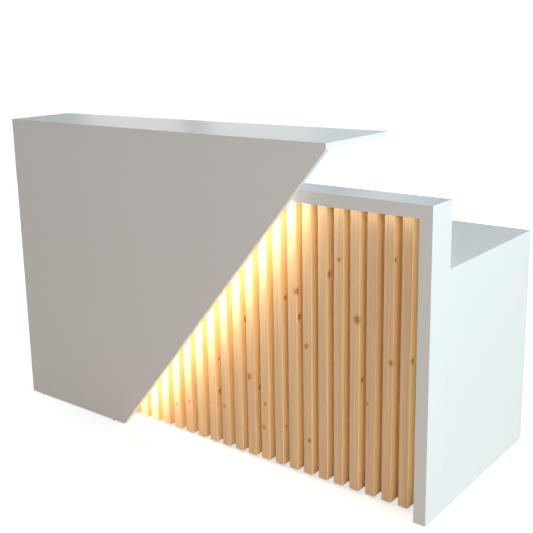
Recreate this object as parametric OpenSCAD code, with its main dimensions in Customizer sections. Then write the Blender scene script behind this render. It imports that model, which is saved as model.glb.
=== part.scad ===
// Checkout counter: a tall white feature panel with a slanted edge and a high transaction shelf stands in
// front of a portal frame filled with pine slats. A light strip behind the slanted edge washes the slats.
// Behind the frame is a desk with a cupboard, a knee space and three drawers.
// +X is the customer's right, -Y faces the customer, +Z is up. The origin is on the floor under the middle.

/* [Overall] */
// Width over everything
counter_w = 1750; // [1700:10:1800]
// Depth from the feature panel to the back of the desk
counter_d = 740; // [720:10:800]
// Height of the transaction shelf's top
counter_h = 1100; // [1080:10:1150]
// Thickness of the laminated boards
board_t = 18; // [18:1:19]
// Thickness of the glides under the boards
glide_h = 3; // [2:1:5]

/* [Feature panel and shelf] */
// Width of the feature panel at the floor
panel_foot_w = 530; // [510:10:560]
// Width of the transaction shelf, which is the panel's width at its top
shelf_w = 1430; // [1400:10:1460]
// Depth of the transaction shelf at its left end
shelf_left_d = 270; // [250:5:300]
// Depth of the transaction shelf at its right end
shelf_right_d = 345; // [300:5:360]

/* [Portal frame] */
// Thickness of the frame's posts and rail
frame_t = 40; // [36:1:44]
// Depth of the frame
frame_d = 114; // [110:1:120]
// Height of the frame's top
frame_h = 950; // [930:10:970]

/* [Slats] */
// Number of slats
slat_count = 28; // [28:1:28]
// Width of a slat
slat_w = 33; // [30:1:34]
// Depth of a slat
slat_d = 50; // [45:1:55]
// Distance from one slat to the next
slat_pitch = 57.7; // [57:0.1:57.9]
// Distance from the last slat to the right post
slat_margin = 44; // [40:1:46]
// Height of the slats' and the backing's lower ends
slat_foot_z = 9; // [6:1:12]

/* [Desk] */
// Height of the worktop
desk_h = 750; // [740:10:770]
// Inside width of the cupboard
cupboard_w = 450; // [440:10:470]
// Inside width of the drawer bay
bay_w = 432; // [420:2:440]
// Height of the plinths' top
plinth_top_z = 60; // [60:1:62]
// Distance that the door and the drawer fronts are set in from the back edge
front_inset = 36; // [36:1:40]
// Gap around the door and the drawer fronts
front_gap = 3; // [3:0.5:4]
// Length of the drawer boxes and their runners
runner_l = 450; // [400:10:460]

/* [Light] */
// Distance of the light profile from the slanted edge
light_setback = 18; // [15:1:25]
// Width of the light profile
profile_w = 17.4; // [16:0.2:18]
// Height of the light profile without its diffuser
profile_h = 7; // [7:0.5:8]

/* [Hidden] */
$fn = 48;

laminate = [0.93, 0.93, 0.92];
pine = [0.86, 0.7, 0.48];
steel = [0.72, 0.73, 0.74];
drawer_white = [0.86, 0.87, 0.87];

// Planes of the whole counter
left_x = -counter_w / 2;
right_x = counter_w / 2;
front_y = -counter_d / 2;
back_y = counter_d / 2;
panel_back_y = front_y + board_t;
packer_t = board_t;
frame_front_y = panel_back_y + packer_t;
frame_back_y = frame_front_y + frame_d;
backing_front_y = frame_back_y - board_t;
slat_front_y = backing_front_y - slat_d;
shelf_z = counter_h - board_t;
rail_z = frame_h - frame_t;

// The slanted edge runs from the foot on the floor to the shelf's end
edge_foot_x = left_x + panel_foot_w;
edge_top_x = left_x + shelf_w;
edge_angle = atan2(edge_top_x - edge_foot_x, shelf_z);
function edge_x(z) = edge_foot_x + z * tan(edge_angle);

// Slats, counted from the left and shared out between four nodes
slat_nodes = 4;
slats_per_node = slat_count / slat_nodes;
function slat_x(i) = right_x - frame_t - slat_margin - slat_w - (slat_count - 1 - i) * slat_pitch;
slat_screw_z = [120, 660];
slat_screw_l = 50;
screw_r = 2;
screw_head_r = 4;
screw_sink = 2.5;

// Riser between the rail and the transaction shelf
riser_setback = 100;
rib_x = [left_x + 420, left_x + 800, left_x + 1180];

// Packers that hold the feature panel off the frame
rail_packer_end_x = left_x + 1200;
block_x = [left_x + 60, left_x + 400];
block_z = [12, 52];

// Desk
worktop_z = desk_h - board_t;
cupboard_x0 = left_x + board_t;
cupboard_x1 = cupboard_x0 + cupboard_w;
bay_x1 = right_x - board_t;
bay_x0 = bay_x1 - bay_w;
bay_mid_x = (bay_x0 + bay_x1) / 2;
floor_top_z = plinth_top_z + board_t;
door_face_y = back_y - front_inset;
door_back_y = door_face_y - board_t;
plinth_y = back_y - 80;
shelf_board_z = 400;
shelf_side_gap = 1;
shelf_back_gap = 20;
shelf_front_gap = 26;
shelf_pin_r = 2.5;
shelf_pin_depth = 10;
shelf_pin_out = 8;
shelf_pin_y = [frame_back_y + 70, frame_back_y + 450];

// Drawer fronts as [lower edge, height, height of the box]
front_z0 = floor_top_z + 2;
low_front_h = 300;
mid_front_h = 200;
mid_front_z = front_z0 + low_front_h + front_gap;
top_front_z = mid_front_z + mid_front_h + front_gap;
top_front_h = worktop_z - front_gap - top_front_z;
low_drawer = [front_z0, low_front_h, 205];
mid_drawer = [mid_front_z, mid_front_h, 160];
top_drawer = [top_front_z, top_front_h, 103];
box_side_t = 12;
box_floor_t = 8;
box_lift = 15;
box_back_y = door_back_y - runner_l;

// Drawer runners: strips of sheet inside one another, with limits in X from the bay's wall
runner_w = 13;
runner_sheet = 1.2;
runner_lift = 50;
runner_y = [box_back_y, door_back_y - 2];
fixed_strip_x = [0, 10];
fixed_strip_half_h = 22.8;
middle_strip_x = [2.4, 10];
middle_strip_half_h = 18;
drawer_strip_x = [5.2, runner_w];
drawer_strip_half_h = 13.5;

// Bow handles
handle_r = 5;
handle_pitch = 128;
handle_reach = 32;
handle_bend_r = 12;
handle_drop = 45;
door_handle_inset = 40;
door_handle_drop = 110;

// Cupboard hinges
hinge_axis = [cupboard_x0 + 6, door_face_y + 5];
hinge_z = [180, 630];
hinge_h = 60;
knuckle_r = 4;
knuckle_h = 20;
knuckle_play = 0.3;
knuckle_bite = 0.5;
hinge_pin_r = 1.5;
pin_play = 0.06;
leaf_t = 1.5;
fixed_leaf_w = 35;
door_leaf_w = 38;
door_leaf_start = 5;
door_x0 = cupboard_x0 + 3.4;

// Magnetic catch of the cupboard door
catch_w = 45;
catch_d = 15;
catch_h = 14;
catch_gap = 0.3;
catch_inset = 23;

// Drawer lock
lock_axis = [bay_x1 - 52, worktop_z - 32];
lock_barrel_r = 8;
lock_plug_r = 5;
lock_flange_w = 2;
lock_flange_t = 2;
lock_barrel_back_y = door_back_y - 20;
plug_play = 0.06;
plug_back_y = lock_barrel_back_y - 0.5;
plug_face_y = door_face_y + 1.6;
keyway = [1.6, 7, 7];
cam_l = 26;
cam_w = 14;
cam_t = 3;
keeper_w = 40;
keeper_t = 2;
keeper_drop = 18;
keeper_y = [door_back_y - 43, door_back_y - 16];

// Light
profile_wall = 1.2;
diffuser_t = 1;
diffuser_tongue = 2;
light_start = 45;
light_end = 1150;
end_cap_t = 1.5;
strip_w = 10;
strip_t = 0.6;
strip_inset = 5;
led_pitch = 16.7;
led_w = 5;
led_top = 2.1;
led_inset = 15;
profile_x = -light_setback - profile_w;
profile_mid = profile_x + profile_w / 2;
profile_groove = [profile_x + profile_wall, profile_x + profile_w - profile_wall];

// Light driver on the back of the slat backing
driver_x = [-330, -170];
driver_z = [600, 655];
driver_d = 35;
driver_ear = 12;
driver_ear_t = 3;
rocker_axis = [-300, frame_back_y + driver_d - 1, 628];
rocker_size = [19, 6, 12];
rocker_well = [20.6, 16, 12.8];
rocker_pin_r = 1;
rocker_pin_l = 15;
rocker_pin_play = 0.06;
rocker_rest = -8;

// Two-pole mains inlet on the driver's end
inlet_z = 628;
inlet_y = frame_back_y + 18;
inlet_d = 12;
inlet_r = 4;
inlet_pole = 3.8;
inlet_pin_r = 1.2;
inlet_pin_l = 10;

// Cable grommet in the worktop
grommet = [-175, frame_back_y + 60];
grommet_r = 30;
grommet_bore_r = 27;
grommet_rim_w = 5;
grommet_rim_t = 3;
grommet_lip = 1.5;
grommet_seat = 2;
grommet_foot = 2;
flap_r = 26.5;
flap_notch_r = 9;
flap_axis_y = -21;
flap_t = 2;
flap_z = desk_h + 0.5;
flap_pin_r = 1;
flap_pin_half_l = 20;
flap_pin_play = 0.06;
flap_pin_end_play = 0.5;
flap_well_z = [desk_h - 6, desk_h + 4];
flap_well_y = flap_axis_y + 8;
flap_corner = [18.2, -22.4];

// Low-voltage lead from the light profile, between two slats and up to the driver
lead_r = 2.5;
lead_sides = 10;
lead_start_u = light_start - end_cap_t;
function on_edge(u, x, y) = [
  edge_foot_x + u * sin(edge_angle) + x * cos(edge_angle), panel_back_y + y,
  u * cos(edge_angle) - x * sin(edge_angle)
];
lead_route = [
  on_edge(lead_start_u, profile_mid, 4),
  on_edge(lead_start_u - 8, profile_mid, 4),
  [-349, -347.8, 37.5], [-357, -347.4, 33.5], [-366, -347, 34.5], [-372.5, -346.5, 41],
  [-375, -346, 51], [-375, -345.5, 65], [-374, -345, 90], [-371, -344.5, 125],
  [-367, -344, 160], [-363, -344, 195], [-358, -343.5, 230], [-353.5, -342, 258],
  [-351, -339, 278], [-350.6, -333, 291], [-350.6, -324, 298], [-350.6, -312, 300],
  [-350.6, -290, 300], [-350.6, -265, 300], [-350.6, -240, 300], [-350.6, -220, 300],
  [-350.6, -210, 301], [-350.6, -202, 306], [-350.6, -198, 315], [-350.6, -199, 328],
  [-350.6, -205, 340], [-350.6, -212, 352], [-350.6, -216, 366], [-350.6, -217, 382],
  [-350.6, -217, 410], [-350.6, -217, 440], [-350.6, -217, 470], [-350.6, -217, 500],
  [-350.6, -217, 530], [-350.6, -217, 560], [-350.6, -215, 580], [-350.1, -210, 597],
  [-348.7, -205.5, 611], [-345, -203, 622], [-339, -202.5, 627], [-330, -202.5, 627]
];
lead_hole_r = 4.5;
lead_hole = [-350.6, 300];
clip_z = [396, 470, 544];
clip_w = 14;
clip_h = 8;
clip_d = 7;
clip_reach = 3;
clip_play = 0.1;

// Wooden dowels as [middle, rotation, length, radius]
along_x = [0, 90, 0];
along_y = [90, 0, 0];
along_z = [0, 0, 0];
dowel_r = 4;
dowel_l = 30;
post_dowel = [60, 5];
packer_dowel_l = 46;
side_dowel_l = 40;
dowel_offset = 5;
post_y = [frame_front_y + 29, frame_back_y - 29];
// The places at this distance from the walls inside the cupboard and the drawer bay
function both_bays_inset(d) = [cupboard_x0 + d, cupboard_x1 - d, bay_x0 + d, bay_x1 - d];

dowel_list = concat(
  [for (x = [left_x + frame_t / 2, right_x - frame_t / 2], y = post_y)
    [[x, y, rail_z], along_z, post_dowel[0], post_dowel[1]]],
  [for (x = [100, 500, 900, 1300])
    [[left_x + x, front_y + board_t / 2, shelf_z - dowel_offset], along_z, dowel_l, dowel_r]],
  [for (x = [150, 600, 1050], z = [shelf_z - dowel_offset, frame_h])
    [[left_x + x, frame_back_y - board_t / 2, z], along_z, dowel_l, dowel_r]],
  [for (x = [cupboard_x0 + dowel_offset, bay_x1 - dowel_offset], y = [100, 300, 500])
    [[x, frame_back_y + y, desk_h - board_t / 2], along_x, dowel_l, dowel_r]],
  [for (x = [cupboard_x1 + board_t / 2, bay_x0 - board_t / 2], y = [100, 500])
    [[x, frame_back_y + y, worktop_z - dowel_offset], along_z, dowel_l, dowel_r]],
  [for (x = both_bays_inset(dowel_offset), y = [100, 400])
    [[x, frame_back_y + y, plinth_top_z + board_t / 2], along_x, dowel_l, dowel_r]],
  [for (x = both_bays_inset(100))
    [[x, plinth_y + board_t / 2, plinth_top_z - dowel_offset], along_z, dowel_l, dowel_r]],
  [for (z = [150, 500, 850])
    [[left_x + frame_t / 2, panel_back_y + packer_t / 2, z], along_y, packer_dowel_l, dowel_r]],
  [for (x = [300, 700, 1100])
    [[left_x + x, panel_back_y + packer_t / 2, frame_h - frame_t / 2], along_y, packer_dowel_l, dowel_r]],
  [for (x = [left_x + board_t / 2, right_x - board_t / 2], z = [200, 600])
    [[x, frame_back_y, z], along_y, side_dowel_l, dowel_r]]
);

// Angle brackets as [middle, height of the board's underside above them]
bracket_leg = 40;
bracket_t = 2;
bracket_half_w = 20;
bracket_screw_x = [-11, 11];
bracket_screw_reach = 24;
bracket_screw_bite = 15;
bracket_head_t = 2.4;
bracket_list = concat(
  [for (x = [250, 700, 1150]) [left_x + x, shelf_z]],
  [for (x = [250, 620, 1150, 1500]) [left_x + x, worktop_z]]
);

// Glides under the feature panel, the posts, the side panels and the dividers
glide_r = 8;
glide_inset = 50;
glide_list = concat(
  [for (x = [60, 470]) [left_x + x, front_y + board_t / 2]],
  [for (x = [left_x + frame_t / 2, right_x - frame_t / 2], y = post_y) [x, y]],
  [for (x = [left_x, cupboard_x1, bay_x0 - board_t, right_x - board_t],
    y = [frame_back_y + glide_inset, back_y - glide_inset]) [x + board_t / 2, y]]
);

// Basic shapes, given by their limits
module box(x, y, z) translate([x[0], y[0], z[0]]) cube([x[1] - x[0], y[1] - y[0], z[1] - z[0]]);
module rod_x(y, z, x, r) translate([x[0], y, z]) rotate([0, 90, 0]) cylinder(h = x[1] - x[0], r = r);
module rod_y(x, z, y, r) translate([x, y[0], z]) rotate([-90, 0, 0]) cylinder(h = y[1] - y[0], r = r);
module rod_z(x, y, z, r) translate([x, y, z[0]]) cylinder(h = z[1] - z[0], r = r);

// An outline in X and Z, as thick as y[1] - y[0]
module upright(outline, y)
  translate([0, y[1], 0]) rotate([90, 0, 0]) linear_extrude(y[1] - y[0]) polygon(outline);

// Fasteners
module dowels() color(pine)
  for (d = dowel_list) translate(d[0]) rotate(d[1]) cylinder(h = d[2], r = d[3], center = true);

module slat_screw(x, z) {
  rod_y(x, z, [frame_back_y - slat_screw_l, frame_back_y], screw_r);
  translate([x, frame_back_y - screw_sink, z]) rotate([-90, 0, 0])
    cylinder(h = screw_sink, r1 = screw_r, r2 = screw_head_r);
}

module screws_of_slats(first, last)
  for (i = [first:last], z = slat_screw_z) slat_screw(slat_x(i) + slat_w / 2, z);

module slat_screws() color(steel) screws_of_slats(0, slat_count - 1);

module bracket_screws() color(steel) for (b = bracket_list, side = bracket_screw_x) {
  x = b[0] + side;
  y = frame_back_y + bracket_screw_reach;
  z = b[1] - bracket_screw_reach;
  under_z = b[1] - bracket_t;
  face_y = frame_back_y + bracket_t;
  rod_y(x, z, [frame_back_y - bracket_screw_bite, face_y], screw_r);
  rod_y(x, z, [face_y, face_y + bracket_head_t], screw_head_r);
  rod_z(x, y, [under_z, b[1] + bracket_screw_bite], screw_r);
  rod_z(x, y, [under_z - bracket_head_t, under_z], screw_head_r);
}

module angle_brackets() color(steel) difference() {
  for (b = bracket_list) {
    x = [b[0] - bracket_half_w, b[0] + bracket_half_w];
    box(x, [frame_back_y, frame_back_y + bracket_t], [b[1] - bracket_leg, b[1]]);
    box(x, [frame_back_y, frame_back_y + bracket_leg], [b[1] - bracket_t, b[1]]);
  }
  bracket_screws();
}

module glides() color("dimgray") for (g = glide_list) rod_z(g[0], g[1], [0, glide_h], glide_r);

// Front of the counter
module front_panel() color(laminate) difference() {
  upright([[left_x, glide_h], [edge_x(glide_h), glide_h], [edge_top_x, shelf_z], [left_x, shelf_z]],
    [front_y, panel_back_y]);
  dowels();
}

module top_shelf() color(laminate) difference() {
  translate([0, 0, shelf_z]) linear_extrude(board_t)
    polygon([[left_x, front_y], [edge_top_x, front_y],
      [edge_top_x, front_y + shelf_right_d], [left_x, front_y + shelf_left_d]]);
  dowels();
  bracket_screws();
}

module riser_board() color(laminate) difference() {
  upright([[left_x + board_t, frame_h], [edge_x(frame_h) - riser_setback, frame_h],
    [edge_x(shelf_z) - riser_setback, shelf_z], [left_x + board_t, shelf_z]],
    [backing_front_y, frame_back_y]);
  dowels();
  bracket_screws();
}

module riser_ribs() color(laminate) {
  box([left_x, left_x + board_t], [panel_back_y, frame_back_y], [frame_h, shelf_z]);
  for (x = rib_x) box([x, x + board_t], [panel_back_y, backing_front_y], [frame_h, shelf_z]);
}

module panel_packers() color(laminate) difference() {
  union() {
    box([left_x, left_x + frame_t], [panel_back_y, frame_front_y], [glide_h, rail_z]);
    box([left_x, rail_packer_end_x], [panel_back_y, frame_front_y], [rail_z, frame_h]);
    box(block_x, [panel_back_y, slat_front_y], block_z);
  }
  dowels();
}

module portal_rail() color(laminate) difference() {
  box([left_x, right_x], [frame_front_y, frame_back_y], [rail_z, frame_h]);
  dowels();
}

module portal_post(x) color(laminate) difference() {
  box([x, x + frame_t], [frame_front_y, frame_back_y], [glide_h, rail_z]);
  dowels();
}

module slat_backing() color(laminate) difference() {
  box([left_x + frame_t, right_x - frame_t], [backing_front_y, frame_back_y], [slat_foot_z, rail_z]);
  slat_screws();
  bracket_screws();
  rod_y(lead_hole[0], lead_hole[1], [backing_front_y - 1, frame_back_y + 1], lead_hole_r);
}

module slats(part) color(pine) difference() {
  first = (part - 1) * slats_per_node;
  last = part * slats_per_node - 1;
  for (i = [first:last])
    box([slat_x(i), slat_x(i) + slat_w], [slat_front_y, backing_front_y], [slat_foot_z, rail_z]);
  screws_of_slats(first, last);
}

// Desk
module side_panel(x) color(laminate) difference() {
  box([x, x + board_t], [frame_back_y, back_y], [glide_h, desk_h]);
  dowels();
  shelf_pins();
}

module worktop() color(laminate) difference() {
  box([cupboard_x0, bay_x1], [frame_back_y, back_y], [worktop_z, desk_h]);
  dowels();
  bracket_screws();
  rod_z(grommet.x, grommet.y, [worktop_z - 1, desk_h + 1], grommet_r);
}

module dividers() color(laminate) difference() {
  for (x = [cupboard_x1, bay_x0 - board_t])
    box([x, x + board_t], [frame_back_y, back_y], [glide_h, worktop_z]);
  dowels();
  shelf_pins();
}

module bottom_boards() color(laminate) difference() {
  for (x = [[cupboard_x0, cupboard_x1], [bay_x0, bay_x1]])
    box(x, [frame_back_y, door_face_y], [plinth_top_z, floor_top_z]);
  dowels();
}

module plinths() color(laminate) difference() {
  for (x = [[cupboard_x0, cupboard_x1], [bay_x0, bay_x1]])
    box(x, [plinth_y, plinth_y + board_t], [slat_foot_z, plinth_top_z]);
  dowels();
}

module cupboard_shelf() color(laminate)
  box([cupboard_x0 + shelf_side_gap, cupboard_x1 - shelf_side_gap],
    [frame_back_y + shelf_back_gap, door_back_y - shelf_front_gap], [shelf_board_z, shelf_board_z + board_t]);

module shelf_pins() color(steel) for (y = shelf_pin_y) {
  z = shelf_board_z - shelf_pin_r;
  rod_x(y, z, [cupboard_x0 - shelf_pin_depth, cupboard_x0 + shelf_pin_out], shelf_pin_r);
  rod_x(y, z, [cupboard_x1 - shelf_pin_out, cupboard_x1 + shelf_pin_depth], shelf_pin_r);
}

// A bent rod on the plane y = 0, with its bar along X
module bow_handle() color(steel) {
  leg = handle_reach - handle_r - handle_bend_r;
  bar = handle_pitch / 2 - handle_bend_r;
  for (side = [0, 1]) mirror([side, 0, 0]) {
    rod_y(handle_pitch / 2, 0, [0, leg], handle_r);
    translate([bar, leg, 0]) rotate_extrude(angle = 90) translate([handle_bend_r, 0]) circle(handle_r);
  }
  rod_x(leg + handle_bend_r, 0, [-bar, bar], handle_r);
}

// Cupboard door with its hinges, handle and catch
module cupboard_door() color(laminate)
  box([door_x0, cupboard_x1 - front_gap], [door_back_y, door_face_y], [front_z0, worktop_z - front_gap]);

module door_handle()
  translate([cupboard_x1 - door_handle_inset, door_face_y, worktop_z - door_handle_drop])
    rotate([0, 90, 0]) bow_handle();

module knuckle(z, bore_r) translate([hinge_axis.x, hinge_axis.y, z[0]]) difference() {
  cylinder(h = z[1] - z[0], r = knuckle_r);
  translate([0, 0, -1]) cylinder(h = z[1] - z[0] + 2, r = bore_r);
}

// A strip of a leaf that ends in a knuckle's wall
module knuckle_strip(x, y, z) difference() {
  box(x, y, z);
  rod_z(hinge_axis.x, hinge_axis.y, [z[0] - 1, z[1] + 1], knuckle_r - knuckle_bite);
}

module hinges_fixed() color(steel) for (middle = hinge_z) {
  z = [middle - hinge_h / 2, middle + hinge_h / 2];
  for (end = [[z[0], z[0] + knuckle_h - knuckle_play], [z[1] - knuckle_h + knuckle_play, z[1]]]) {
    knuckle(end, hinge_pin_r);
    knuckle_strip([cupboard_x0, hinge_axis.x], [hinge_axis.y - 1, hinge_axis.y + 1], end);
  }
  box([cupboard_x0, cupboard_x0 + leaf_t], [hinge_axis.y - fixed_leaf_w, hinge_axis.y + 1], z);
  rod_z(hinge_axis.x, hinge_axis.y, z, hinge_pin_r);
}

module hinges_door() color(steel) for (middle = hinge_z) {
  y = [door_face_y, door_face_y + leaf_t];
  z = [middle - knuckle_h / 2 + knuckle_play, middle + knuckle_h / 2 - knuckle_play];
  knuckle(z, hinge_pin_r + pin_play);
  knuckle_strip([hinge_axis.x, hinge_axis.x + door_leaf_start + 1], y, z);
  box([hinge_axis.x + door_leaf_start, hinge_axis.x + door_leaf_w], y,
    [middle - hinge_h / 2, middle + hinge_h / 2]);
}

module door_catch() color("whitesmoke")
  box([cupboard_x1 - catch_inset - catch_w, cupboard_x1 - catch_inset],
    [door_back_y - catch_gap - catch_d, door_back_y - catch_gap], [worktop_z - catch_h, worktop_z]);

// Drawers. The shapes on the bay's left wall are repeated on its right wall.
module both_walls() {
  children();
  translate([2 * bay_mid_x, 0, 0]) mirror([1, 0, 0]) children();
}

// A C-shaped strip of sheet over x from the bay's wall, with its web at web_x and its middle at z
module strip_channel(x, web_x, half_h, z) {
  box([bay_x0 + web_x, bay_x0 + web_x + runner_sheet], runner_y, [z - half_h, z + half_h]);
  box([bay_x0 + x[0], bay_x0 + x[1]], runner_y, [z - half_h, z - half_h + runner_sheet]);
  box([bay_x0 + x[0], bay_x0 + x[1]], runner_y, [z + half_h - runner_sheet, z + half_h]);
}

function runner_z(d) = d[0] + box_lift + runner_lift;

module drawer_front(d) color(laminate) difference() {
  box([bay_x0 + front_gap, bay_x1 - front_gap], [door_back_y, door_face_y], [d[0], d[0] + d[1]]);
  if (d == top_drawer) rod_y(lock_axis[0], lock_axis[1], [door_back_y - 1, door_face_y + 1], lock_barrel_r);
}

module drawer_box(d) color(drawer_white) {
  x = [bay_x0 + runner_w, bay_x1 - runner_w];
  z = [d[0] + box_lift, d[0] + box_lift + d[2]];
  difference() {
    box(x, [box_back_y, door_back_y], z);
    box([x[0] + box_side_t, x[1] - box_side_t], [box_back_y + box_side_t, door_back_y + 1],
      [z[0] + box_floor_t, z[1] + 1]);
  }
}

module drawer_handle(d) translate([bay_mid_x, door_face_y, d[0] + d[1] - handle_drop]) bow_handle();

module drawer_members(d) color(steel) both_walls()
  strip_channel(drawer_strip_x, drawer_strip_x[1] - runner_sheet, drawer_strip_half_h, runner_z(d));

module runner_middle(d) color(steel) both_walls()
  strip_channel(middle_strip_x, middle_strip_x[0], middle_strip_half_h, runner_z(d));

module runners_fixed() color(steel) for (d = [low_drawer, mid_drawer, top_drawer]) both_walls()
  strip_channel(fixed_strip_x, fixed_strip_x[0], fixed_strip_half_h, runner_z(d));

// Lock in the top drawer
module lock_rod(y, r) rod_y(lock_axis[0], lock_axis[1], y, r);

module lock_body() color("silver") difference() {
  union() {
    lock_rod([lock_barrel_back_y, door_face_y], lock_barrel_r);
    lock_rod([door_face_y, door_face_y + lock_flange_t], lock_barrel_r + lock_flange_w);
  }
  lock_rod([lock_barrel_back_y - 1, door_face_y + lock_flange_t + 1], lock_plug_r + plug_play);
}

module lock_plug() color("silver") difference() {
  cam_y = [plug_back_y - cam_t, plug_back_y];
  union() {
    lock_rod([plug_back_y, plug_face_y], lock_plug_r);
    lock_rod(cam_y, cam_w / 2);
    box([lock_axis[0] - cam_l, lock_axis[0]], cam_y, [lock_axis[1] - cam_w / 2, lock_axis[1] + cam_w / 2]);
  }
  translate([lock_axis[0] - keyway.x / 2, door_face_y - keyway.y, lock_axis[1] - keyway.z / 2])
    cube([keyway.x, keyway.y + lock_flange_t, keyway.z]);
}

module lock_keeper() color(steel) {
  x = [lock_axis[0] - keeper_w / 2, lock_axis[0] + keeper_w / 2];
  box(x, [keeper_y[1] - keeper_t, keeper_y[1]], [worktop_z - keeper_drop, worktop_z]);
  box(x, keeper_y, [worktop_z - keeper_t, worktop_z]);
}

// Light. Local Z runs up the slanted edge, local X points out of the panel.
module along_edge() translate([edge_foot_x, panel_back_y, 0]) rotate([0, edge_angle, 0]) children();

module led_profile() color("silver") along_edge() difference() {
  box([profile_x, profile_x + profile_w], [0, profile_h], [light_start, light_end]);
  box(profile_groove, [profile_wall, profile_h + 1], [light_start - 1, light_end + 1]);
}

module led_strip() color("lightyellow") along_edge() {
  box([profile_mid - strip_w / 2, profile_mid + strip_w / 2], [profile_wall, profile_wall + strip_t],
    [light_start + strip_inset, light_end - strip_inset]);
  for (u = [light_start + led_inset:led_pitch:light_end - led_inset])
    box([profile_mid - led_w / 2, profile_mid + led_w / 2],
      [profile_wall + strip_t / 2, profile_wall + led_top], [u - led_w / 2, u + led_w / 2]);
}

module led_diffuser() color("ivory") along_edge() {
  box([profile_x, profile_x + profile_w], [profile_h, profile_h + diffuser_t], [light_start, light_end]);
  for (x = [profile_groove[0], profile_groove[1] - profile_wall])
    box([x, x + profile_wall],
      [profile_h - diffuser_tongue, profile_h + diffuser_t / 2], [light_start, light_end]);
}

module led_end_caps() color("silver") along_edge()
  for (u = [light_start - end_cap_t, light_end])
    box([profile_x, profile_x + profile_w], [0, profile_h + diffuser_t], [u, u + end_cap_t]);

module led_driver() color("whitesmoke") {
  y = [frame_back_y, frame_back_y + driver_d];
  poles = [inlet_z - inlet_pole, inlet_z + inlet_pole];
  mouth_x = [driver_x[1] - inlet_d, driver_x[1] + 1];
  difference() {
    union() {
      box(driver_x, y, driver_z);
      box(driver_x, [y[0], y[0] + driver_ear_t], [driver_z[0] - driver_ear, driver_z[1] + driver_ear]);
    }
    translate(rocker_axis) {
      cube(rocker_well, center = true);
      cylinder(h = rocker_pin_l + 1, r = rocker_pin_r + rocker_pin_play, center = true);
    }
    for (z = poles) rod_x(inlet_y, z, mouth_x, inlet_r);
    box(mouth_x, [inlet_y - inlet_r, inlet_y + inlet_r], poles);
  }
  for (z = poles) rod_x(inlet_y, z, [mouth_x[0] - 1, mouth_x[0] + inlet_pin_l], inlet_pin_r);
}

module driver_rocker() color("dimgray") translate(rocker_axis) rotate([0, 0, rocker_rest]) {
  cube(rocker_size, center = true);
  cylinder(h = rocker_pin_l, r = rocker_pin_r, center = true);
}

// A tube of flat sides along a route, with one ring at each point
function unit(v) = v / norm(v);
function tangent(p, i) = unit(p[min(i + 1, len(p) - 1)] - p[max(i - 1, 0)]);
function normals(p, i = 0, last = [0, 1, 0]) =
  i == len(p) ? [] :
  let (t = tangent(p, i), n = unit(last - (last * t) * t)) concat([n], normals(p, i + 1, n));
function ring(p, i, n, r, sides) =
  let (b = cross(tangent(p, i), n))
  [for (a = [0:360 / sides:359]) p[i] + r * (cos(a) * n + sin(a) * b)];

module tube(p, r, sides) {
  n = normals(p);
  rings = len(p);
  points = [for (i = [0:rings - 1]) each ring(p, i, n[i], r, sides)];
  walls = [for (i = [0:rings - 2], a = [0:sides - 1])
    [i * sides + a, i * sides + (a + 1) % sides, (i + 1) * sides + (a + 1) % sides, (i + 1) * sides + a]];
  first_end = [for (a = [sides - 1:-1:0]) a];
  last_end = [for (a = [0:sides - 1]) (rings - 1) * sides + a];
  polyhedron(points, concat([first_end], walls, [last_end]));
}

module led_lead() color("white") tube(lead_route, lead_r, lead_sides);

module lead_clips() color("white") for (z = clip_z) difference() {
  bore_r = lead_r + clip_play;
  lead_y = frame_back_y + clip_reach;
  box([lead_hole[0] - clip_w / 2, lead_hole[0] + clip_w / 2], [frame_back_y, frame_back_y + clip_d],
    [z - clip_h / 2, z + clip_h / 2]);
  rod_z(lead_hole[0], lead_y, [z - clip_h, z + clip_h], bore_r);
  box([lead_hole[0] - bore_r, lead_hole[0] + bore_r], [frame_back_y - 1, lead_y], [z - clip_h, z + clip_h]);
}

// Cable grommet, whose flap turns on a pin near its front. The box up to flap_corner clears the flap's sides
module grommet_ring() color("gray") translate([grommet.x, grommet.y, 0]) difference() {
  union() {
    rod_z(0, 0, [worktop_z - grommet_foot, desk_h], grommet_r);
    rod_z(0, 0, [desk_h, desk_h + grommet_rim_t], grommet_r + grommet_rim_w);
  }
  rod_z(0, 0, [desk_h - grommet_seat, desk_h + grommet_rim_t + 1], grommet_bore_r);
  rod_z(0, 0, [worktop_z - grommet_foot - 1, desk_h], grommet_bore_r - grommet_lip);
  intersection() {
    rod_z(0, 0, flap_well_z, grommet_bore_r);
    box([-grommet_r, grommet_r], [-grommet_r, flap_well_y], flap_well_z);
  }
  box([-flap_corner.x, flap_corner.x], [flap_corner.y, flap_well_y], flap_well_z);
  flap_pin(flap_pin_half_l + flap_pin_end_play, flap_pin_r + flap_pin_play);
}

module flap_pin(half_l, r) rod_x(flap_axis_y, flap_z + flap_t / 2, [-half_l, half_l], r);

module grommet_flap() color("gray") translate([grommet.x, grommet.y, 0]) {
  difference() {
    rod_z(0, 0, [flap_z, flap_z + flap_t], flap_r);
    rod_z(0, flap_r, [flap_z - 1, flap_z + flap_t + 1], flap_notch_r);
  }
  flap_pin(flap_pin_half_l, flap_pin_r);
}

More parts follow.
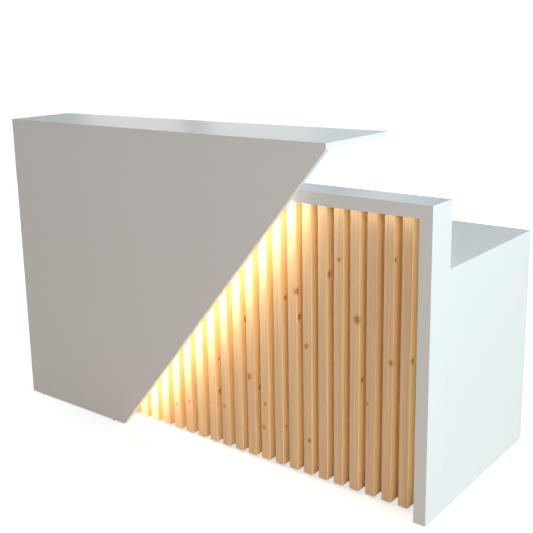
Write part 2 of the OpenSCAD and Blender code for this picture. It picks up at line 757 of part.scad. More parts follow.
front_panel();
top_shelf();
riser_board();
riser_ribs();
panel_packers();
portal_rail();
portal_post(left_x);  // portal_post_left
portal_post(right_x - frame_t);  // portal_post_right
slat_backing();
slats(1);  // slats_1
slats(2);  // slats_2
slats(3);  // slats_3
slats(4);  // slats_4
side_panel(left_x);  // side_panel_left
side_panel(right_x - board_t);  // side_panel_right
worktop();
dividers();
bottom_boards();
plinths();
cupboard_shelf();
shelf_pins();
cupboard_door();
door_handle();
hinges_fixed();
hinges_door();
door_catch();
drawer_front(top_drawer);  // drawer_top_front
drawer_box(top_drawer);  // drawer_top_box
drawer_handle(top_drawer);  // drawer_top_handle
drawer_members(top_drawer);  // drawer_top_members
runner_middle(top_drawer);  // runner_top_middle
drawer_front(mid_drawer);  // drawer_mid_front
drawer_box(mid_drawer);  // drawer_mid_box
drawer_handle(mid_drawer);  // drawer_mid_handle
drawer_members(mid_drawer);  // drawer_mid_members
runner_middle(mid_drawer);  // runner_mid_middle
drawer_front(low_drawer);  // drawer_low_front
drawer_box(low_drawer);  // drawer_low_box
drawer_handle(low_drawer);  // drawer_low_handle
drawer_members(low_drawer);  // drawer_low_members
runner_middle(low_drawer);  // runner_low_middle
runners_fixed();
lock_body();
lock_plug();
lock_keeper();
led_profile();
led_strip();
led_diffuser();
led_end_caps();
led_driver();
driver_rocker();
led_lead();
lead_clips();
grommet_ring();
grommet_flap();
dowels();
slat_screws();
angle_brackets();
bracket_screws();
glides();
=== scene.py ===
"""Looks of the checkout counter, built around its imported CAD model. All lengths are in metres."""
import itertools
import math
import random

import bmesh
import bpy
from mathutils import Euler, Matrix, Vector

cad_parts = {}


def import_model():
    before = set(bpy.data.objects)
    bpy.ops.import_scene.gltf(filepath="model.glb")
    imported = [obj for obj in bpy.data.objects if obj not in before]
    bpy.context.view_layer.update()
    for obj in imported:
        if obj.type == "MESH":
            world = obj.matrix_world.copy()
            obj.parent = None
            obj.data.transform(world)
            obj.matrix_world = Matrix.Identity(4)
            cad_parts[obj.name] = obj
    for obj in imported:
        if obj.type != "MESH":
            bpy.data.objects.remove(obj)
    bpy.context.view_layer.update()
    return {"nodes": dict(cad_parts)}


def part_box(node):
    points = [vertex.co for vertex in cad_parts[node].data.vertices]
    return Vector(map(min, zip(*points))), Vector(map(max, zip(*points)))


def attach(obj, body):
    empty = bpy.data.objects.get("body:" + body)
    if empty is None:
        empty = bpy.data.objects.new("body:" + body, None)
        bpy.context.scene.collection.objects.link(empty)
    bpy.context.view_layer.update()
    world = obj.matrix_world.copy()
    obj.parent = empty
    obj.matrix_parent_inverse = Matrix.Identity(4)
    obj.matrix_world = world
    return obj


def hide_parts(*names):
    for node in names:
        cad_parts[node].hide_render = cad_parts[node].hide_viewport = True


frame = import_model()

# The camera that sees the object as the photograph does
CAMERA_AT = (1.940, -2.414, 1.415)
CAMERA_TURN = (77.21, 0.95, 37.84)
CAMERA_LENS = 59.5
CAMERA_SHIFT = (-0.0006, -0.070)

# Colours, in linear light
WHITE = (0.80, 0.80, 0.79)
WARM_LIGHT = (1.0, 0.88, 0.65)

# Knots, scattered over the slats by one seeded draw: how many on each slat, the faces that they show on,
# how close they come to an edge and an end, how far back they go, and their size
KNOT_SEED = 11
KNOTS_ON_SLAT = 2
KNOT_FACES = ("front", "right", "right", "left")
KNOT_EDGE = 0.005
KNOT_END = 0.06
KNOT_BACK = 0.030
KNOT_RADIUS = (0.002, 0.008, 0.0035)
KNOT_REACH = 0.009

# A knot's depth and height for each unit of its radius across the grain
KNOT_DEEP = 2.4
KNOT_TALL = 1.35

MM = 0.001

# The light's lead, point by point from the profile's foot to the driver, in millimetres
LEAD_ROUTE = [
    (-337.7, -348, 50.5), (-342.8, -348, 44.4),
    (-349, -347.8, 37.5), (-357, -347.4, 33.5), (-366, -347, 34.5), (-372.5, -346.5, 41),
    (-375, -346, 51), (-375, -345.5, 65), (-374, -345, 90), (-371, -344.5, 125),
    (-367, -344, 160), (-363, -344, 195), (-358, -343.5, 230), (-353.5, -342, 258),
    (-351, -339, 278), (-350.6, -333, 291), (-350.6, -324, 298), (-350.6, -312, 300),
    (-350.6, -290, 300), (-350.6, -265, 300), (-350.6, -240, 300), (-350.6, -220, 300),
    (-350.6, -210, 301), (-350.6, -202, 306), (-350.6, -198, 315), (-350.6, -199, 328),
    (-350.6, -205, 340), (-350.6, -212, 352), (-350.6, -216, 366), (-350.6, -217, 382),
    (-350.6, -217, 410), (-350.6, -217, 440), (-350.6, -217, 470), (-350.6, -217, 500),
    (-350.6, -217, 530), (-350.6, -217, 560), (-350.6, -215, 580), (-350.1, -210, 597),
    (-348.7, -205.5, 611), (-345, -203, 622), (-339, -202.5, 627), (-330, -202.5, 627),
]
LEAD_RADIUS = 0.0025

# The slats' planed edges and crooked lengths
SLATS_IN_NODE = 7
SLAT_SEED = 100
SLAT_ARRIS = 0.0018
SLAT_END_EDGE = 0.0006
SLAT_CROOK = 0.0003
SLAT_CUTS = 10
RINGS_PER_METRE = 270.0

# Eased edges and drilled holes: the boards' edge, how far each fitted piece's rim laps over its hole, the
# cutter that makes the hole, and the angle from which a CAD node's edges are eased
BOARD_EDGE = 0.0007
GROMMET_RIM = 0.005
LOCK_RIM = 0.002
HOLE_SIDES = 96
CUTTER_LENGTH = 0.1
SHARP_DEGREES = 35

# Light chips along the strip
CHIP_PITCH = 0.0167
CHIP_FOOT = 0.0008
CHIP_TOP = 0.0012

# The lamp along the diffuser: its width, power, gap to the diffuser, and slope of its beam
STRIP_WIDTH = 0.014
STRIP_WATTS = 2.35
STRIP_GAP = 0.002
STRIP_TILT = 2.2

# The two lamps that imitate light thrown back by the portal: width and power, and the first one's colour
GLOW_GAP = 0.001
RAIL_GLOW = (0.03, 0.085)
RAIL_GLOW_COLOUR = (1.0, 0.93, 0.84)
RAIL_GLOW_END = 0.045
POST_GLOW = (0.04, 0.045)

# The studio's softboxes: name, place, aim, width and height, watts, colour
ROOM_LIGHTS = [
    ("window", (8.5, -0.2, 3.4), (0.5, 0.0, 0.5), (5.0, 5.0), 615, (0.66, 0.88, 1.0)),
    ("fill", (9.3, -9.9, 3.7), (0.0, -0.3, 0.5), (7.5, 6.0), 790, (1.0, 0.965, 0.945)),
    ("back", (1.2, 8.0, 1.5), (0.0, 0.3, 0.5), (5.0, 2.6), 250, (1.0, 0.98, 0.96)),
    ("left", (-8.0, 1.2, 1.5), (-0.5, 0.0, 0.5), (5.0, 2.6), 190, (0.96, 0.98, 1.0)),
    ("overhead", (-0.6, 0.4, 4.5), (-0.4, 0.0, 0.9), (4.0, 3.0), 54, (0.88, 0.95, 1.0)),
]
SHEEN_LIGHTS = [
    ("sheen_left", (-2.65, 1.95, 1.75), (-0.4, -0.25, 1.1), (0.7, 0.9), 2.1, (1.0, 0.86, 0.79)),
    ("sheen_right", (-1.85, 2.35, 1.75), (0.2, -0.23, 1.1), (0.7, 0.9), 2.2, (1.0, 0.92, 0.87)),
    ("sheen_rail", (-1.3, 2.9, 1.65), (0.6, -0.28, 0.95), (0.9, 0.4), 1.6, (0.80, 0.92, 1.0)),
]
WORLD_LIGHT = 0.18
WORLD_SEEN = 1.05
FLOOR_RADIUS = 6


# ---------------------------------------------------------------- shader nodes

class Shader:
    """A material whose nodes are made by short calls. A socket or a plain number can be given anywhere."""

    def __init__(self, name):
        self.material = bpy.data.materials.new(name)
        self.material.use_nodes = True
        self.tree = self.material.node_tree
        self.surface = self.tree.nodes["Principled BSDF"]

    def put(self, socket, value):
        if isinstance(value, bpy.types.NodeSocket):
            self.tree.links.new(value, socket)
        else:
            socket.default_value = value

    def node(self, kind, values=(), **settings):
        made = self.tree.nodes.new("ShaderNode" + kind)
        for key, value in settings.items():
            setattr(made, key, value)
        for key, value in dict(values).items():
            self.put(made.inputs[key], value)
        return made

    def math(self, operation, a, b=0.0):
        return self.node("Math", {0: a, 1: b}, operation=operation).outputs[0]

    def vector(self, operation, a, b=(0, 0, 0)):
        made = self.node("VectorMath", {0: a, 1: b}, operation=operation)
        return made.outputs["Value" if operation == "LENGTH" else "Vector"]

    def place(self):
        """Where a point is in the object's own space."""
        return self.node("TexCoord").outputs["Object"]

    def noise(self, at, stretch, detail=2.0, roughness=0.5):
        """Noise from 0 to 1 with that many bumps in a metre along X, Y and Z."""
        scaled = self.vector("MULTIPLY", at, stretch)
        values = {"Vector": scaled, "Scale": 1.0, "Detail": detail, "Roughness": roughness}
        return self.node("TexNoise", values).outputs[0]

    def span(self, value, low, high):
        """value, taken from 0..1 to low..high."""
        return self.node("MapRange", {"Value": value, "To Min": low, "To Max": high}).outputs["Result"]

    def step(self, value, start, end):
        """0 where value is at start, 1 where it is at end, and smooth between them."""
        made = self.node("MapRange", {"Value": value, "From Min": start, "From Max": end},
                         interpolation_type="SMOOTHSTEP")
        return made.outputs["Result"]

    def mix(self, share, a, b):
        """a where share is 0 and b where it is 1."""
        made = self.node("Mix", data_type="RGBA")
        for socket, value in ((made.inputs[0], share), (made.inputs[6], a), (made.inputs[7], b)):
            if isinstance(value, tuple):
                value = (*value, 1.0)
            self.put(socket, value)
        return made.outputs[2]

    def shade(self, colour, share):
        """colour, darkened or lightened by the factor share."""
        return self.node("VectorMath", {0: colour, "Scale": share}, operation="SCALE").outputs[0]

    def bump(self, height, strength, distance):
        made = self.node("Bump", {"Height": height, "Strength": strength, "Distance": distance})
        self.put(self.surface.inputs["Normal"], made.outputs[0])

    def finish(self, colour, roughness, **values):
        if isinstance(colour, tuple):
            colour = (*colour, 1.0)
        self.put(self.surface.inputs["Base Color"], colour)
        self.put(self.surface.inputs["Roughness"], roughness)
        for key, value in values.items():
            self.put(self.surface.inputs[key.replace("_", " ").title()], value)
        return self.material


# ---------------------------------------------------------------- materials

def laminate(name, grain, colour=WHITE, tone=0.02):
    """Melamine-faced board: fine lines along the board, a soft gloss, and scuffs near the floor."""
    s = Shader(name)
    at = s.place()
    along = 2.5
    across = 420.0
    stretch = tuple(along if axis == grain else across for axis in "xyz")
    streaks = s.noise(at, stretch, 3.0)
    cloud = s.noise(at, (2.2, 2.2, 2.2), 2.0)
    height = s.node("SeparateXYZ", {0: at}).outputs[2]
    near_floor = s.step(height, 0.09, 0.0)
    marks = s.step(s.noise(at, (60.0, 60.0, 14.0), 4.0, 0.7), 0.56, 0.75)
    scuffs = s.math("MULTIPLY", near_floor, marks)
    light = s.math("MULTIPLY", s.span(streaks, 1 - tone, 1 + tone), s.span(cloud, 0.985, 1.015))
    clean = s.shade(colour, light)
    dirty = s.mix(s.math("MULTIPLY", scuffs, 0.35), clean, tuple(c * 0.6 for c in colour))
    rough = s.math("ADD", s.span(streaks, 0.30, 0.42), s.math("MULTIPLY", scuffs, 0.2))
    pearl = s.noise(at, (900.0, 900.0, 900.0), 2.0)
    s.bump(s.math("ADD", s.math("MULTIPLY", streaks, 0.7), s.math("MULTIPLY", pearl, 0.3)), 0.10, 0.0004)
    return s.finish(dirty, rough, coat_weight=0.15, coat_roughness=0.25)


def scatter_knots():
    """The middle and the three half lengths of each knot."""
    rng = random.Random(KNOT_SEED)
    knots = []
    for left in SLAT_LEFT:
        for _ in range(KNOTS_ON_SLAT):
            face = rng.choice(KNOT_FACES)
            height = rng.uniform(SLAT_FOOT + KNOT_END, SLAT_TOP - KNOT_END)
            wide = rng.triangular(*KNOT_RADIUS)
            deep = min(wide * KNOT_DEEP, KNOT_REACH)
            tall = wide * KNOT_TALL
            if face == "front":
                across = left + rng.uniform(KNOT_EDGE, SLAT_WIDTH - KNOT_EDGE)
                knots.append(((across, SLAT_FRONT, height), (wide, deep, tall)))
            else:
                side = left + SLAT_WIDTH if face == "right" else left
                back = SLAT_FRONT + rng.uniform(KNOT_EDGE, KNOT_BACK)
                knots.append(((side, back, height), (deep, wide, tall)))
    return knots


def knot_distance(s, at):
    """Distance to the nearest knot, where 1 is the knot's rim."""
    nearest = 10.0
    for middle, size in scatter_knots():
        offset = s.vector("SUBTRACT", at, middle)
        share = s.vector("LENGTH", s.vector("DIVIDE", offset, size))
        nearest = s.math("MINIMUM", nearest, share)
    return nearest


def pine():
    """Planed knotty pine with growth rings that run along the slat and bend round its knots."""
    s = Shader("pine")
    at = s.place()
    local = s.node("Attribute", attribute_name="grain").outputs["Vector"]
    seed = s.node("Attribute", attribute_name="seed").outputs["Fac"]
    dice = s.node("TexWhiteNoise", {"W": seed}, noise_dimensions="1D").outputs["Color"]
    chance = s.node("SeparateXYZ", {0: dice})
    shifted = s.vector("ADD", local, s.node("CombineXYZ", {2: s.math("MULTIPLY", seed, 3.7)}).outputs[0])
    knots = knot_distance(s, at)
    bulge = s.math("MULTIPLY", s.step(knots, 3.2, 0.6), 0.006)
    wander = s.math("MULTIPLY", s.math("SUBTRACT", s.noise(shifted, (9.0, 9.0, 1.6), 2.0), 0.5), 0.030)
    split = s.node("SeparateXYZ", {0: local})
    heart_x = s.span(chance.outputs[0], -0.06, 0.06)
    heart_y = s.span(chance.outputs[1], 0.025, 0.11)
    dx = s.math("ADD", s.math("SUBTRACT", split.outputs[0], heart_x), wander)
    dy = s.math("SUBTRACT", split.outputs[1], heart_y)
    radius = s.math("SQRT", s.math("ADD", s.math("MULTIPLY", dx, dx), s.math("MULTIPLY", dy, dy)))
    rings = s.math("FRACT", s.math("MULTIPLY", s.math("ADD", radius, bulge), RINGS_PER_METRE))
    late = s.math("MULTIPLY", s.math("POWER", rings, 2.5), s.step(rings, 1.0, 0.9))
    fibre = s.noise(shifted, (1100.0, 1100.0, 9.0), 2.0)
    bands = s.noise(shifted, (130.0, 130.0, 1.2), 2.0)
    tone = s.math("ADD", s.span(chance.outputs[2], -0.06, 0.06), s.span(fibre, 0.92, 1.08))
    tone = s.math("MULTIPLY", tone, s.span(bands, 0.80, 1.22))
    # Painted light: the slats' side faces get a brighter, warmer wood colour than their fronts, a painted
    # stand-in for the warm light that bounces between the slats
    facing = s.node("SeparateXYZ", {0: s.node("TexCoord").outputs["Normal"]}).outputs[0]
    side = s.step(s.math("ABSOLUTE", facing), 0.6, 0.85)
    early_wood_with_side_light = s.mix(side, (0.86, 0.605, 0.375), (1.0, 0.73, 0.385))
    late_wood_with_side_light = s.mix(side, (0.68, 0.42, 0.20), (0.90, 0.54, 0.20))
    wood = s.mix(s.math("MULTIPLY", late, 0.62), early_wood_with_side_light, late_wood_with_side_light)
    wood = s.shade(wood, tone)
    halo = s.math("MULTIPLY", s.step(knots, 2.6, 1.0), 0.55)
    wood = s.mix(halo, wood, (0.70, 0.36, 0.11))
    core = s.mix(s.step(knots, 0.2, 0.9), (0.66, 0.26, 0.04), (0.46, 0.15, 0.02))
    wood = s.mix(s.math("MULTIPLY", s.step(knots, 1.12, 0.85), 0.85), wood, core)
    s.bump(s.math("ADD", s.math("MULTIPLY", fibre, 0.5), s.math("MULTIPLY", late, 0.5)), 0.18, 0.0004)
    return s.finish(wood, s.span(fibre, 0.42, 0.58), coat_weight=0.12, coat_roughness=0.35)


def beech():
    """Dowel wood: pale, with short dark flecks."""
    s = Shader("beech")
    at = s.place()
    flecks = s.step(s.noise(at, (900.0, 900.0, 260.0), 2.0), 0.58, 0.70)
    s.bump(flecks, 0.2, 0.0002)
    wood = s.mix(s.math("MULTIPLY", flecks, 0.5), (0.72, 0.50, 0.30), (0.42, 0.25, 0.12))
    return s.finish(wood, 0.6)


def brushed(name, colour, grain, rough):
    """Metal with fine scratches along one axis."""
    s = Shader(name)
    at = s.place()
    stretch = tuple(12.0 if axis == grain else 2600.0 for axis in "xyz")
    lines = s.noise(at, stretch, 3.0)
    smears = s.noise(at, (40.0, 40.0, 40.0), 3.0)
    s.bump(lines, 0.12, 0.0001)
    uneven = s.math("ADD", s.span(lines, rough - 0.05, rough + 0.05), s.span(smears, -0.04, 0.04))
    return s.finish(s.shade(colour, s.span(lines, 0.93, 1.05)), uneven, metallic=1.0)


def zinc():
    """Bright zinc plate with its cloudy crystals."""
    s = Shader("zinc_steel")
    at = s.place()
    cells = s.node("TexVoronoi", {"Vector": at, "Scale": 320.0}).outputs["Color"]
    cell = s.node("SeparateXYZ", {0: cells}).outputs[0]
    cloud = s.noise(at, (120.0, 120.0, 120.0), 3.0)
    s.bump(cloud, 0.08, 0.0002)
    tone = s.math("MULTIPLY", s.span(cell, 0.94, 1.04), s.span(cloud, 0.9, 1.08))
    return s.finish(s.shade((0.62, 0.64, 0.66), tone), s.span(cloud, 0.26, 0.42), metallic=1.0)


def plastic(name, colour):
    """Moulded plastic with a fine spark-eroded texture."""
    s = Shader(name)
    at = s.place()
    fine = s.noise(at, (2400.0, 2400.0, 2400.0), 2.0)
    cloud = s.noise(at, (25.0, 25.0, 25.0), 2.0)
    s.bump(fine, 0.15, 0.0002)
    tone = s.math("MULTIPLY", s.span(fine, 0.97, 1.03), s.span(cloud, 0.96, 1.04))
    return s.finish(s.shade(colour, tone), s.span(fine, 0.36, 0.50))


def diffuser():
    """Opal cover over the lit strip, a little brighter over each light chip."""
    s = Shader("opal_diffuser")
    at = s.place()
    along = s.node("SeparateXYZ", {0: at}).outputs[2]
    chips = s.math("COSINE", s.math("MULTIPLY", along, 2 * math.pi / CHIP_RISE))
    glow = s.span(s.math("MULTIPLY", s.math("ADD", chips, 1.0), 0.5), 0.92, 1.0)
    s.bump(s.noise(at, (1500.0, 1500.0, 1500.0), 2.0), 0.1, 0.0002)
    light = s.shade(WARM_LIGHT, glow)
    return s.finish((0.9, 0.86, 0.78), 0.5, emission_color=light, emission_strength=9.0)


def strip():
    """White flexible strip with yellow light chips, which stand higher than it."""
    s = Shader("led_strip")
    at = s.place()
    depth = s.node("SeparateXYZ", {0: at}).outputs[1]
    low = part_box("led_strip")[0].y
    chip = s.step(depth, low + CHIP_FOOT, low + CHIP_TOP)
    grains = s.noise(at, (3000.0, 3000.0, 3000.0), 2.0)
    s.bump(grains, 0.1, 0.0001)
    colour = s.shade(s.mix(chip, (0.80, 0.80, 0.78), (0.85, 0.62, 0.12)), s.span(grains, 0.92, 1.05))
    return s.finish(colour, 0.4, emission_color=WARM_LIGHT + (1.0,), emission_strength=2.0)


# ---------------------------------------------------------------- piece makers

def new_piece(name, mesh, body, material, replaced):
    """An object that rides on a body, takes its finish from a slot, and stands for a CAD node."""
    piece = bpy.data.objects.new(name, mesh)
    bpy.context.scene.collection.objects.link(piece)
    mesh.materials.clear()
    mesh.materials.append(material)
    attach(piece, body)
    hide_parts(replaced)
    return piece


def soften(piece):
    """Smooth shading that keeps the large faces flat."""
    for face in piece.data.polygons:
        face.use_smooth = True
    weighted = piece.modifiers.new("normals", "WEIGHTED_NORMAL")
    weighted.weight = 100
    return piece


def solids_of(node):
    """The vertex places of each separate solid in a CAD node, from left to right."""
    bm = bmesh.new()
    bm.from_mesh(frame["nodes"][node].data)
    bmesh.ops.remove_doubles(bm, verts=bm.verts, dist=1e-6)
    left = set(bm.verts)
    found = []
    while left:
        todo = [left.pop()]
        solid = []
        while todo:
            vertex = todo.pop()
            solid.append(vertex.co.copy())
            for edge in vertex.link_edges:
                other = edge.other_vert(vertex)
                if other in left:
                    left.discard(other)
                    todo.append(other)
        found.append(solid)
    bm.free()
    return sorted(found, key=lambda solid: (round(min(v.x for v in solid), 4), min(v.z for v in solid)))


def board_mesh(name, points):
    """A convex board round these points, with eased edges."""
    bm = bmesh.new()
    for point in points:
        bm.verts.new(point)
    bmesh.ops.convex_hull(bm, input=bm.verts)
    bmesh.ops.delete(bm, geom=[v for v in bm.verts if not v.link_faces], context="VERTS")
    bmesh.ops.dissolve_limit(bm, angle_limit=math.radians(1), verts=bm.verts, edges=bm.edges)
    bmesh.ops.bevel(bm, geom=list(bm.edges), offset=BOARD_EDGE, segments=2, profile=0.5, affect="EDGES")
    bmesh.ops.recalc_face_normals(bm, faces=bm.faces)
    mesh = bpy.data.meshes.new(name)
    bm.to_mesh(mesh)
    bm.free()
    return mesh


def boards(node, body, material, names=None):
    """Replaces a CAD node of convex boards by boards with eased edges, one piece for each."""
    solids = solids_of(node)
    if not names and len(solids) == 1:
        names = [node]
    elif not names:
        names = [f"{node}_{i + 1}" for i in range(len(solids))]
    made = []
    for name, points in zip(names, solids, strict=True):
        piece = new_piece(name + ".board", board_mesh(name, points), body, material, node)
        made.append(soften(piece))
    return made


def drill(piece, node, axis, rim):
    """Cuts the hole along Y or Z in which a fitted CAD node sits. The node's rim laps over the board."""
    low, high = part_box(node)
    middle = (low + high) / 2
    radius = (high.x - low.x) / 2 - rim
    bm = bmesh.new()
    turn = math.pi / 2 if axis == "y" else 0
    place = Matrix.Translation(middle) @ Matrix.Rotation(turn, 4, "X")
    bmesh.ops.create_cone(bm, cap_ends=True, segments=HOLE_SIDES, radius1=radius, radius2=radius,
                          depth=CUTTER_LENGTH, matrix=place)
    cutter_mesh = bpy.data.meshes.new("cutter")
    bm.to_mesh(cutter_mesh)
    bm.free()
    cutter = bpy.data.objects.new("cutter", cutter_mesh)
    bpy.context.scene.collection.objects.link(cutter)
    cut = piece.modifiers.new("hole", "BOOLEAN")
    cut.object = cutter
    cut.operation = "DIFFERENCE"
    cut.solver = "EXACT"
    piece.modifiers.move(len(piece.modifiers) - 1, 0)
    graph = bpy.context.evaluated_depsgraph_get()
    drilled = bpy.data.meshes.new_from_object(piece.evaluated_get(graph))
    piece.modifiers.clear()
    piece.data = drilled
    bpy.data.objects.remove(cutter)


def box_points(low, high):
    """The eight corners of a box."""
    ranges = zip(low, high)
    return [Vector(point) for point in itertools.product(*ranges)]


# ---------------------------------------------------------------- measures from the frame

slat_solids = [solid for part in (1, 2, 3, 4) for solid in solids_of(f"slats_{part}")]
SLAT_LEFT = [min(v.x for v in solid) for solid in slat_solids]
SLAT_WIDTH = max(v.x for v in slat_solids[0]) - SLAT_LEFT[0]
SLAT_FRONT = min(v.y for v in slat_solids[0])
SLAT_BACK = max(v.y for v in slat_solids[0])
SLAT_FOOT = min(v.z for v in slat_solids[0])
SLAT_TOP = max(v.z for v in slat_solids[0])
light_low, light_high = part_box("led_diffuser")
light_run = light_high - light_low
CHIP_RISE = CHIP_PITCH * light_run.z / math.hypot(light_run.x, light_run.z)

WHITE_X = laminate("white_laminate_x", "x")
WHITE_Z = laminate("white_laminate_z", "z")
DRAWER = laminate("drawer_board", "y", (0.60, 0.61, 0.61), 0.05)
PINE = pine()
BEECH = beech()
SATIN = brushed("satin_steel", (0.60, 0.59, 0.57), "x", 0.30)
ZINC = zinc()
NICKEL = brushed("lock_metal", (0.66, 0.65, 0.63), "y", 0.18)
ANODISED = brushed("aluminium", (0.74, 0.75, 0.76), "z", 0.34)
OPAL = diffuser()
STRIP = strip()
WHITE_PLASTIC = plastic("white_plastic", (0.76, 0.76, 0.75))
DARK_PLASTIC = plastic("dark_plastic", (0.03, 0.03, 0.033))
GREY_PLASTIC = plastic("grey_plastic", (0.27, 0.28, 0.29))

# The CAD nodes that stay, with their material and how far their edges are eased, in metres
PLAIN_NODES = {
    "slat_backing": (WHITE_X, 0), "panel_packers": (WHITE_X, 0.0005), "shelf_pins": (ZINC, 0.0002),
    "door_handle": (SATIN, 0), "drawer_top_handle": (SATIN, 0), "drawer_mid_handle": (SATIN, 0),
    "drawer_low_handle": (SATIN, 0), "hinges_fixed": (ZINC, 0.0002), "hinges_door": (ZINC, 0.0002),
    "door_catch": (WHITE_PLASTIC, 0.0005), "drawer_top_members": (ZINC, 0.0002),
    "drawer_mid_members": (ZINC, 0.0002), "drawer_low_members": (ZINC, 0.0002),
    "runner_top_middle": (ZINC, 0.0002), "runner_mid_middle": (ZINC, 0.0002),
    "runner_low_middle": (ZINC, 0.0002), "runners_fixed": (ZINC, 0.0002), "lock_body": (NICKEL, 0.0003),
    "lock_plug": (NICKEL, 0.0002), "lock_keeper": (ZINC, 0.0002), "led_profile": (ANODISED, 0.0002),
    "led_strip": (STRIP, 0), "led_diffuser": (OPAL, 0.0002), "led_end_caps": (ANODISED, 0.0003),
    "led_driver": (WHITE_PLASTIC, 0.0008), "driver_rocker": (DARK_PLASTIC, 0.0003),
    "lead_clips": (WHITE_PLASTIC, 0.0004), "grommet_ring": (GREY_PLASTIC, 0.0003),
    "grommet_flap": (GREY_PLASTIC, 0.0003), "dowels": (BEECH, 0), "slat_screws": (ZINC, 0),
    "angle_brackets": (ZINC, 0.0002), "bracket_screws": (ZINC, 0), "glides": (DARK_PLASTIC, 0.0004),
}


def ease(node, material, radius):
    """Gives a CAD node its material and takes the sharpness off its edges."""
    thing = frame["nodes"][node]
    thing.data.materials.clear()
    thing.data.materials.append(material)
    if radius:
        weld = thing.modifiers.new("weld", "WELD")
        weld.merge_threshold = 1e-5
        bevel = thing.modifiers.new("bevel", "BEVEL")
        bevel.width = radius
        bevel.segments = 2
        bevel.limit_method = "ANGLE"
        bevel.angle_limit = math.radians(SHARP_DEGREES)
        bevel.use_clamp_overlap = False
        bevel.harden_normals = True


# ---------------------------------------------------------------- slats

def slat(number):
    """A planed slat with rounded arrises, a slight bow, and its own place in the grain."""
    rng = random.Random(SLAT_SEED + number)
    left = SLAT_LEFT[number]
    low = (left, SLAT_FRONT, SLAT_FOOT)
    high = (left + SLAT_WIDTH, SLAT_BACK, SLAT_TOP)
    bm = bmesh.new()
    for point in box_points(low, high):
        bm.verts.new(point)
    bmesh.ops.convex_hull(bm, input=bm.verts)
    bmesh.ops.dissolve_limit(bm, angle_limit=math.radians(1), verts=bm.verts, edges=bm.edges)
    upright = [e for e in bm.edges if abs((e.verts[0].co - e.verts[1].co).z) > SLAT_WIDTH]
    bmesh.ops.bevel(bm, geom=upright, offset=SLAT_ARRIS, segments=4, profile=0.5, affect="EDGES")
    ends = [e for e in bm.edges if abs((e.verts[0].co - e.verts[1].co).z) < 1e-6]
    bmesh.ops.bevel(bm, geom=ends, offset=SLAT_END_EDGE, segments=2, profile=0.5, affect="EDGES")
    for level in range(1, SLAT_CUTS):
        height = SLAT_FOOT + (SLAT_TOP - SLAT_FOOT) * level / SLAT_CUTS
        bmesh.ops.bisect_plane(bm, geom=bm.verts[:] + bm.edges[:] + bm.faces[:],
                               plane_co=(0, 0, height), plane_no=(0, 0, 1))
    bow = rng.uniform(-SLAT_CROOK, SLAT_CROOK)
    lean = rng.uniform(-SLAT_CROOK, SLAT_CROOK)
    grain = bm.verts.layers.float_vector.new("grain")
    seed = bm.verts.layers.float.new("seed")
    for v in bm.verts:
        v[grain] = (v.co.x - left - SLAT_WIDTH / 2, v.co.y - SLAT_FRONT, v.co.z)
        v[seed] = number + 1.0
        share = (v.co.z - SLAT_FOOT) / (SLAT_TOP - SLAT_FOOT)
        v.co.x += bow * math.sin(math.pi * share) + lean * (0.5 - share)
    bmesh.ops.recalc_face_normals(bm, faces=bm.faces)
    name = f"slat_{number + 1:02d}"
    mesh = bpy.data.meshes.new(name)
    bm.to_mesh(mesh)
    bm.free()
    part = 1 + number // SLATS_IN_NODE
    soften(new_piece(name, mesh, "counter", PINE, f"slats_{part}"))


def led_lead():
    """The low-voltage lead from the light profile to the driver, as one smooth round cable."""
    data = bpy.data.curves.new("led_lead.cable", "CURVE")
    data.dimensions = "3D"
    data.bevel_depth = LEAD_RADIUS
    data.bevel_resolution = 4
    data.use_fill_caps = True
    data.resolution_u = 8
    data.materials.append(WHITE_PLASTIC)
    spline = data.splines.new("NURBS")
    spline.points.add(len(LEAD_ROUTE) - 1)
    for point, place in zip(spline.points, LEAD_ROUTE, strict=True):
        point.co = (*(c * MM for c in place), 1)
    spline.order_u = 3
    spline.use_endpoint_u = True
    piece = bpy.data.objects.new("led_lead.cable", data)
    bpy.context.scene.collection.objects.link(piece)
    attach(piece, "counter")
    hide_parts("led_lead")


# ---------------------------------------------------------------- stage

def camera():
    """The camera, at the place and with the lens that fit the object's outline."""
    data = bpy.data.cameras.new("camera")
    data.lens = CAMERA_LENS
    data.sensor_width = 36
    data.shift_x, data.shift_y = CAMERA_SHIFT
    thing = bpy.data.objects.new("camera", data)
    thing.location = CAMERA_AT
    thing.rotation_euler = Euler([math.radians(a) for a in CAMERA_TURN], "XYZ")
    bpy.context.scene.collection.objects.link(thing)
    bpy.context.scene.camera = thing


def floor():
    """A pale floor. It looks nearly white, and throws back less light than that onto the counter."""
    s = Shader("floor")
    cloud = s.noise(s.place(), (0.6, 0.6, 0.6), 2.0)
    away = s.vector("LENGTH", s.place())
    seen = s.finish(s.shade((0.55, 0.55, 0.55), s.span(cloud, 0.99, 1.0)), 0.7,
                    emission_color=(1.0, 1.0, 1.0, 1.0), emission_strength=s.step(away, -6.0, 5.0))
    plain = s.node("BsdfDiffuse", {"Color": (0.51, 0.375, 0.265, 1.0)}).outputs[0]
    direct = s.node("LightPath").outputs["Is Camera Ray"]
    mix = s.node("MixShader", {0: direct, 1: plain, 2: s.surface.outputs[0]})
    s.put(s.tree.nodes["Material Output"].inputs["Surface"], mix.outputs[0])
    bm = bmesh.new()
    bmesh.ops.create_circle(bm, cap_ends=True, segments=64, radius=FLOOR_RADIUS)
    mesh = bpy.data.meshes.new("floor")
    bm.to_mesh(mesh)
    bm.free()
    thing = bpy.data.objects.new("floor", mesh)
    mesh.materials.append(seen)
    bpy.context.scene.collection.objects.link(thing)


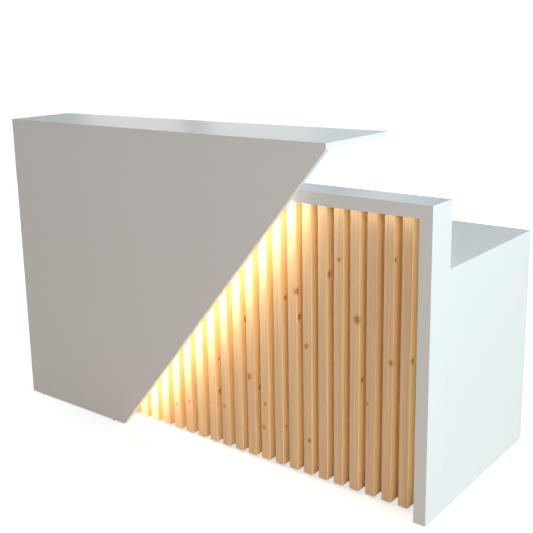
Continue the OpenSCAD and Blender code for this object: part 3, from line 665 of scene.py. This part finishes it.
def world():
    """An even pale surround. It looks white behind the counter and lights it softly."""
    scene = bpy.context.scene
    scene.world = scene.world or bpy.data.worlds.new("world")
    scene.world.use_nodes = True
    tree = scene.world.node_tree
    tree.nodes.clear()
    seen = tree.nodes.new("ShaderNodeBackground")
    seen.inputs[0].default_value = (1, 1, 1, 1)
    seen.inputs[1].default_value = WORLD_SEEN
    light = tree.nodes.new("ShaderNodeBackground")
    light.inputs[0].default_value = (0.98, 0.99, 1.0, 1)
    light.inputs[1].default_value = WORLD_LIGHT
    path = tree.nodes.new("ShaderNodeLightPath")
    mix = tree.nodes.new("ShaderNodeMixShader")
    out = tree.nodes.new("ShaderNodeOutputWorld")
    tree.links.new(path.outputs["Is Camera Ray"], mix.inputs[0])
    tree.links.new(light.outputs[0], mix.inputs[1])
    tree.links.new(seen.outputs[0], mix.inputs[2])
    tree.links.new(mix.outputs[0], out.inputs[0])


def softbox(name, at, aim, size, watts, colour):
    """A rectangular lamp that faces the place aim."""
    data = bpy.data.lights.new(name, "AREA")
    data.shape = "RECTANGLE"
    data.size, data.size_y = size
    data.energy = watts
    data.color = colour
    thing = bpy.data.objects.new(name, data)
    thing.location = at
    thing.rotation_euler = (Vector(aim) - Vector(at)).to_track_quat("-Z", "Y").to_euler()
    bpy.context.scene.collection.objects.link(thing)
    return thing


def glow(name, at, facing, size, watts, colour):
    """A weak lamp close to the slats, which isn't seen itself."""
    thing = softbox(name, at, Vector(at) + Vector(facing), size, watts, colour)
    thing.visible_camera = False


def slat_glow():
    """The light that the white portal throws back onto the slats' upper ends and onto the last slat."""
    low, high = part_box("portal_rail")
    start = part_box("led_diffuser")[1].x
    depth = (low.y + SLAT_FRONT) / 2
    run = high.x - start - RAIL_GLOW_END
    width, watts = RAIL_GLOW
    at = (start + run / 2, depth, low.z - GLOW_GAP)
    glow("rail_glow", at, (0, 0, -1), (run, width), watts, RAIL_GLOW_COLOUR)
    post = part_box("portal_post_right")[0]
    height = SLAT_TOP - SLAT_FOOT
    width, watts = POST_GLOW
    at = (post.x - GLOW_GAP, (post.y + SLAT_BACK) / 2, SLAT_FOOT + height / 2)
    glow("post_glow", at, (-1, 0, 0), (width, height), watts, WARM_LIGHT)


def strip_light():
    """The light that leaves the diffuser, as one long thin lamp just off its face."""
    low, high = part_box("led_diffuser")
    run = Vector((high.x - low.x, 0, high.z - low.z))
    data = bpy.data.lights.new("strip_light", "AREA")
    data.shape = "RECTANGLE"
    data.size = run.length
    data.size_y = STRIP_WIDTH
    data.energy = STRIP_WATTS
    data.color = WARM_LIGHT
    thing = bpy.data.objects.new("strip_light", data)
    slope = math.atan2(run.z, run.x)
    outward = Vector((math.sin(slope), 0, -math.cos(slope)))
    aim = (outward * STRIP_TILT + Vector((0, 1, 0))).normalized()
    run.normalize()
    side = run.cross(-aim)
    thing.matrix_world = Matrix((run, -side, -aim)).transposed().to_4x4()
    thing.location = ((low.x + high.x) / 2, high.y + STRIP_GAP, (low.z + high.z) / 2)
    bpy.context.scene.collection.objects.link(thing)


# ---------------------------------------------------------------- the counter

for node, (material, radius) in PLAIN_NODES.items():
    ease(node, material, radius)
led_lead()
for number in range(len(SLAT_LEFT)):
    slat(number)
for node in ("front_panel", "top_shelf", "riser_board"):
    boards(node, "counter", WHITE_X)
boards("riser_ribs", "counter", WHITE_Z)
boards("portal_rail", "counter", WHITE_X)
for node in ("portal_post_left", "portal_post_right", "side_panel_left", "side_panel_right"):
    boards(node, "counter", WHITE_Z)
drill(boards("worktop", "counter", WHITE_X)[0], "grommet_ring", "z", GROMMET_RIM)
boards("dividers", "counter", WHITE_Z, ["divider_left", "divider_right"])
for node in ("bottom_boards", "plinths", "cupboard_shelf"):
    boards(node, "counter", WHITE_X)
boards("cupboard_door", "cupboard_door", WHITE_Z)
for part, body in (("top", "drawer_top"), ("mid", "drawer_middle"), ("low", "drawer_bottom")):
    front = boards(f"drawer_{part}_front", body, WHITE_X)[0]
    if part == "top":
        drill(front, "lock_body", "y", LOCK_RIM)
    ease(f"drawer_{part}_box", DRAWER, 0.0005)

camera()
floor()
world()
for light in ROOM_LIGHTS:
    softbox(*light)
slat_glow()
for light in SHEEN_LIGHTS:
    softbox(*light)
strip_light()
bpy.context.scene.view_settings.view_transform = "Standard"
